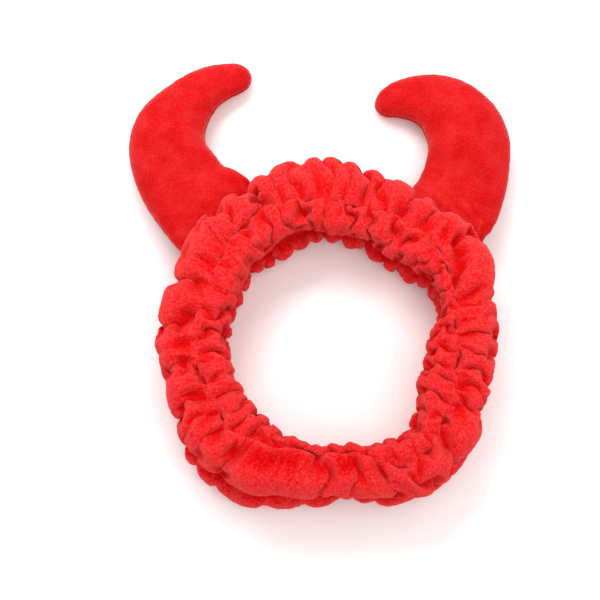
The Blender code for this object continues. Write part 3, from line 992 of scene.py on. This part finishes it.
class NodeBoard:
    """A material's node tree, with one method that adds a node, its settings and its links."""

    def __init__(self, name: str) -> None:
        """Start a material with only its output and its Principled shader."""
        self.material = bpy.data.materials.new(name)
        self.material.use_nodes = True
        self.tree = self.material.node_tree
        self.shader = self.tree.nodes["Principled BSDF"]

    def add(self, kind: str, settings: dict | None = None, inputs: dict | None = None) -> bpy.types.Node:
        """Add a node.

        Args:
            kind: Node type, such as "ShaderNodeTexNoise".
            settings: Properties to set.
            inputs: Socket name or number to a value, or to an output socket that it is linked from.

        Returns:
            The node.
        """
        node = self.tree.nodes.new(kind)
        for key, value in (settings or {}).items():
            setattr(node, key, value)
        self.feed(node, inputs or {})
        return node

    def feed(self, node: bpy.types.Node, inputs: dict) -> None:
        """Set or link a node's inputs, as add does."""
        for key, value in inputs.items():
            if isinstance(value, bpy.types.NodeSocket):
                self.tree.links.new(value, node.inputs[key])
            else:
                node.inputs[key].default_value = value

    def noise(
        self, place: bpy.types.NodeSocket, size_mm: float, detail: float, roughness: float
    ) -> bpy.types.NodeSocket:
        """Noise in space.

        Args:
            place: Socket of the coordinates, in metres.
            size_mm: Size of a clump.
            detail: Octaves.
            roughness: How much each octave adds.

        Returns:
            The socket of its values, from 0 to 1.
        """
        inputs = {"Vector": place, "Scale": 1 / (size_mm * MM), "Detail": detail, "Roughness": roughness}
        return self.add("ShaderNodeTexNoise", inputs=inputs).outputs["Fac"]

    def plus(
        self, base: bpy.types.NodeSocket | float, source: bpy.types.NodeSocket, weight: float
    ) -> bpy.types.NodeSocket:
        """The base plus a weight times the source."""
        inputs = {0: source, 1: weight, 2: base}
        return self.add("ShaderNodeMath", {"operation": "MULTIPLY_ADD"}, inputs).outputs[0]

    def bump(self, height: bpy.types.NodeSocket, strength: float, depth: float) -> bpy.types.NodeSocket:
        """Normals bent by a height, at a strength from 0 to 1 and a depth in metres."""
        inputs = {"Strength": strength, "Distance": depth, "Height": height}
        return self.add("ShaderNodeBump", inputs=inputs).outputs["Normal"]

    def piled(self, roughness: float, sheen: float, spread: float, tint: str) -> bpy.types.Material:
        """Finish the material as a cloth with a pile: no mirror shine, and a tinted sheen at its rims."""
        shine = {"Roughness": roughness, "Metallic": 0.0, "Specular IOR Level": 0.0}
        rims = {"Sheen Weight": sheen, "Sheen Roughness": spread, "Sheen Tint": linear_colour(tint)}
        self.feed(self.shader, shine | rims)
        return self.material

    def ramp(self, share: bpy.types.NodeSocket, stops: tuple[tuple[float, str], ...]) -> bpy.types.NodeSocket:
        """Colours along a share.

        Args:
            share: Socket that says where to read.
            stops: Place and hex colour of each stop.

        Returns:
            The colour socket.
        """
        node = self.add("ShaderNodeValToRGB", inputs={"Fac": share})
        elements = node.color_ramp.elements
        while len(elements) < len(stops):
            elements.new(0.5)
        for element, (place, colour) in zip(elements, stops):
            element.position = place
            element.color = linear_colour(colour)
        return node.outputs["Color"]


@dataclass(frozen=True)
class CoralFleece:
    """Brushed coral fleece: a deep soft pile in combed lines, its fibre ends paler at random, with painted
    shade darkening its creases and painted highlight lightening its ridges.
    """

    name: str = "brushed_coral_fleece"
    # The crease stop is reached by painted shade in creases and by random darker pile; the
    # pale_tips_and_highlight stop by random paler fibre ends and by painted highlight on ridges.
    crease: str = "#CE0307"
    pile: str = "#E60D11"
    pale_tips_and_highlight: str = "#F6484A"
    line_mm: float = 1.25
    clump_mm: float = 1.4
    fibre_mm: float = 0.5

    def material(self) -> bpy.types.Material:
        """The material, which reads Object coordinates, the cloth's UV map and the painted_shading attribute,
        which darkens creases as painted shade and lightens ridges as painted highlight.
        """
        board = NodeBoard(self.name)
        place = board.add("ShaderNodeTexCoord").outputs["Object"]
        cloth = board.add("ShaderNodeUVMap", {"uv_map": "cloth"}).outputs["UV"]
        painted_shading = board.add("ShaderNodeAttribute", {"attribute_name": "painted_shading"}).outputs["Fac"]
        lines = board.add(
            "ShaderNodeTexWave",
            {"wave_type": "BANDS", "bands_direction": "X"},
            {
                "Vector": cloth,
                "Scale": UV_UNIT / (self.line_mm * MM) / WAVE_BANDS,
                "Distortion": 5.5,
                "Detail": 2.0,
                "Detail Scale": 1.1,
                "Detail Roughness": 0.6,
            },
        ).outputs["Fac"]
        clumps = board.noise(place, self.clump_mm, 5.0, 0.66)
        fibres = board.noise(place, self.fibre_mm, 2.0, 0.6)
        level = clumps
        # Random pile tone from the clumps, fibres and combed lines; painted shade in creases and painted
        # highlight on ridges from the painted_shading attribute.
        for source, weight, less in ((fibres, 0.90, 0.42), (lines, 0.08, 0.04), (painted_shading, -0.24, 0.0)):
            shifted = board.add("ShaderNodeMath", {"operation": "SUBTRACT"}, {0: level, 1: less}).outputs[0]
            level = board.plus(shifted, source, weight)
        colour = board.ramp(level, ((0.22, self.crease), (0.56, self.pile), (0.96, self.pale_tips_and_highlight)))
        height = board.plus(board.plus(clumps, lines, 0.07), fibres, 0.8)
        board.feed(board.shader, {"Base Color": colour, "Normal": board.bump(height, 0.8, 0.0010)})
        return board.piled(0.95, 0.7, 0.34, "#FF8A86")


@dataclass(frozen=True)
class ShortPileVelvet:
    """Knitted short-pile velvet: a close smooth nap with faint ribs 1.1 mm apart across the horn."""

    name: str = "knitted_short_pile_velvet"
    # The crease stop is reached by painted shade in the seam's groove and dips and by random darker nap; the
    # pale_tips_and_highlight stop by random paler nap and by painted highlight on bulges.
    crease: str = "#A00408"
    pile: str = "#C81316"
    pale_tips_and_highlight: str = "#E03A3A"
    rib_mm: float = 1.1
    nap_mm: float = 0.7
    brush_mm: float = 9.0

    def material(self) -> bpy.types.Material:
        """The material, which reads Object coordinates in metres and the painted_shading attribute, which
        darkens the seam's groove and dips as painted shade and lightens bulges as painted highlight.
        """
        board = NodeBoard(self.name)
        place = board.add("ShaderNodeTexCoord").outputs["Object"]
        painted_shading = board.add("ShaderNodeAttribute", {"attribute_name": "painted_shading"}).outputs["Fac"]
        nap = board.noise(place, self.nap_mm, 3.0, 0.6)
        brushed = board.noise(place, self.brush_mm, 3.0, 0.55)
        ribs = board.add(
            "ShaderNodeTexWave",
            {"bands_direction": "Y"},
            {
                "Vector": place,
                "Scale": 1 / (self.rib_mm * MM) / WAVE_BANDS,
                "Distortion": 1.2,
                "Detail": 2.0,
                "Detail Scale": 6.0,
            },
        ).outputs["Fac"]
        level = 0.0
        # Random nap tone from the ribs and noise; painted shade in the groove and dips and painted highlight
        # on bulges from the painted_shading attribute.
        for source, weight in ((ribs, 0.05), (brushed, 0.40), (nap, 0.62), (painted_shading, -0.25)):
            level = board.plus(level, source, weight)
        colour = board.ramp(level, ((0.18, self.crease), (0.48, self.pile), (0.90, self.pale_tips_and_highlight)))
        bump = board.bump(board.plus(nap, ribs, 0.20), 0.6, 0.0008)
        board.feed(board.shader, {"Base Color": colour, "Normal": bump})
        return board.piled(0.9, 1.0, 0.30, "#FF9A94")


@dataclass(frozen=True)
class WovenElastic:
    """Woven elastic tape: fine rubber-cored ribs along its length, inside the band."""

    name: str = "woven_elastic_tape"
    thread: str = "#B81216"
    gap: str = "#7C0A0D"
    rib_mm: float = 0.9

    def material(self) -> bpy.types.Material:
        """The material, which reads Object coordinates in metres."""
        board = NodeBoard(self.name)
        place = board.add("ShaderNodeTexCoord").outputs["Object"]
        inputs = {"Vector": place, "Scale": 1 / (self.rib_mm * MM) / WAVE_BANDS}
        ribs = board.add("ShaderNodeTexWave", {"bands_direction": "Z"}, inputs).outputs["Fac"]
        colour = board.ramp(ribs, ((0.2, self.gap), (0.7, self.thread)))
        normal = board.bump(ribs, 0.5, 0.0003)
        board.feed(board.shader, {"Base Color": colour, "Roughness": 0.8, "Metallic": 0.0, "Normal": normal})
        return board.material


@dataclass(frozen=True)
class MatteTable:
    """Smooth matt white table top."""

    name: str = "matt_white_table"
    white: str = "#FAFAFA"

    def material(self) -> bpy.types.Material:
        """The material: one plain pale colour."""
        board = NodeBoard(self.name)
        board.feed(board.shader, {"Base Color": linear_colour(self.white), "Roughness": 0.9, "Metallic": 0.0})
        return board.material


@dataclass
class Headband:
    """The whole headband: both layers, the elastic strip's finish and both horns."""

    fleece: CoralFleece = field(default_factory=CoralFleece)
    velvet: ShortPileVelvet = field(default_factory=ShortPileVelvet)
    elastic: WovenElastic = field(default_factory=WovenElastic)

    def build(self, nodes: dict) -> None:
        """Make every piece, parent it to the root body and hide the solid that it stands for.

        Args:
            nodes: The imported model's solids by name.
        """
        fleece, velvet = self.fleece.material(), self.velvet.material()
        outer = GatheredLayer(LayerSide.OUTER, seed=3).build("outer_fleece", fleece)
        inner = GatheredLayer(LayerSide.INNER, seed=17).build("inner_fleece", fleece)
        left = StuffedHorn(-1, LEFT_HORN_ROWS, seed=11).build("left_plush_horn", velvet)
        right = StuffedHorn(1, RIGHT_HORN_ROWS, seed=29).build("right_plush_horn", velvet)
        stands_for = {outer: "outer_layer", inner: "inner_layer", left: "left_horn", right: "right_horn"}
        for piece, node in stands_for.items():
            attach(piece, "root")
            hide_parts(node)
        strip = nodes["elastic_strip"]
        strip.data.materials.clear()
        strip.data.materials.append(self.elastic.material())


@dataclass
class Studio:
    """A white table under wide soft lights, and a camera above it that leans a little towards -Y."""

    elevation: float = 79.0
    distance: float = 0.86
    metres_per_pixel: float = 0.000459
    frame_pixels: float = 600.0
    ring_pixel: tuple[float, float] = (332.0, 334.0)
    aim_height: float = 0.036

    def build(self) -> None:
        """Add the table, the lights and the camera."""
        self._table()
        self._lights()
        self._camera()

    def _table(self) -> None:
        """A wide square a little under the band."""
        corners = [(3 * x, 3 * y, -TABLE_DROP) for x, y in ((-1, -1), (1, -1), (1, 1), (-1, 1))]
        mesh = bpy.data.meshes.new("table_top")
        mesh.from_pydata(corners, [], [(0, 1, 2, 3)])
        table = bpy.data.objects.new("table_top", mesh)
        table.data.materials.append(MatteTable().material())
        bpy.context.scene.collection.objects.link(table)

    def _lights(self) -> None:
        """A large soft light above and to the upper left, a weaker one to the right, and a white room."""
        for name, place, size, power in (
            ("key_softbox", (-0.28, 0.72, 1.05), 0.8, 25.5),
            ("fill_softbox", (0.50, -0.15, 1.15), 1.0, 5.5),
        ):
            light = bpy.data.lights.new(name, "AREA")
            light.size = size
            light.energy = power
            lamp = bpy.data.objects.new(name, light)
            lamp.location = place
            aim = -np.array(place)
            lamp.rotation_euler = (math.acos(-aim[2] / np.linalg.norm(aim)), 0.0, math.atan2(aim[0], -aim[1]))
            bpy.context.scene.collection.objects.link(lamp)
        world = bpy.data.worlds.new("white_room")
        world.use_nodes = True
        background = world.node_tree.nodes["Background"]
        background.inputs["Color"].default_value = linear_colour("#FFFFFF")
        background.inputs["Strength"].default_value = 0.85
        bpy.context.scene.world = world
        bpy.context.scene.view_settings.view_transform = "Standard"

    def _camera(self) -> None:
        """Aim at the ring's middle, and shift the frame so that the middle lies at the photograph's pixel."""
        lean = math.radians(self.elevation)
        aim = np.array([*RING_MIDDLE, self.aim_height])
        data = bpy.data.cameras.new("camera_above")
        data.sensor_width = 36.0
        data.lens = self.distance / self.metres_per_pixel / self.frame_pixels * data.sensor_width
        data.shift_x = (self.frame_pixels / 2 - self.ring_pixel[0]) / self.frame_pixels
        data.shift_y = (self.ring_pixel[1] - self.frame_pixels / 2) / self.frame_pixels
        data.clip_start = 0.01
        camera = bpy.data.objects.new("camera_above", data)
        camera.location = aim + self.distance * np.array([0.0, -math.cos(lean), math.sin(lean)])
        camera.rotation_euler = (math.pi / 2 - lean, 0.0, 0.0)
        bpy.context.scene.collection.objects.link(camera)
        bpy.context.scene.camera = camera


def main() -> None:
    """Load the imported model, dress it and light it."""
    logging.basicConfig(level=logging.INFO, format="%(name)s: %(message)s")
    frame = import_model()
    Headband().build(frame["nodes"])
    Studio().build()


if __name__ == "__main__":
    main()
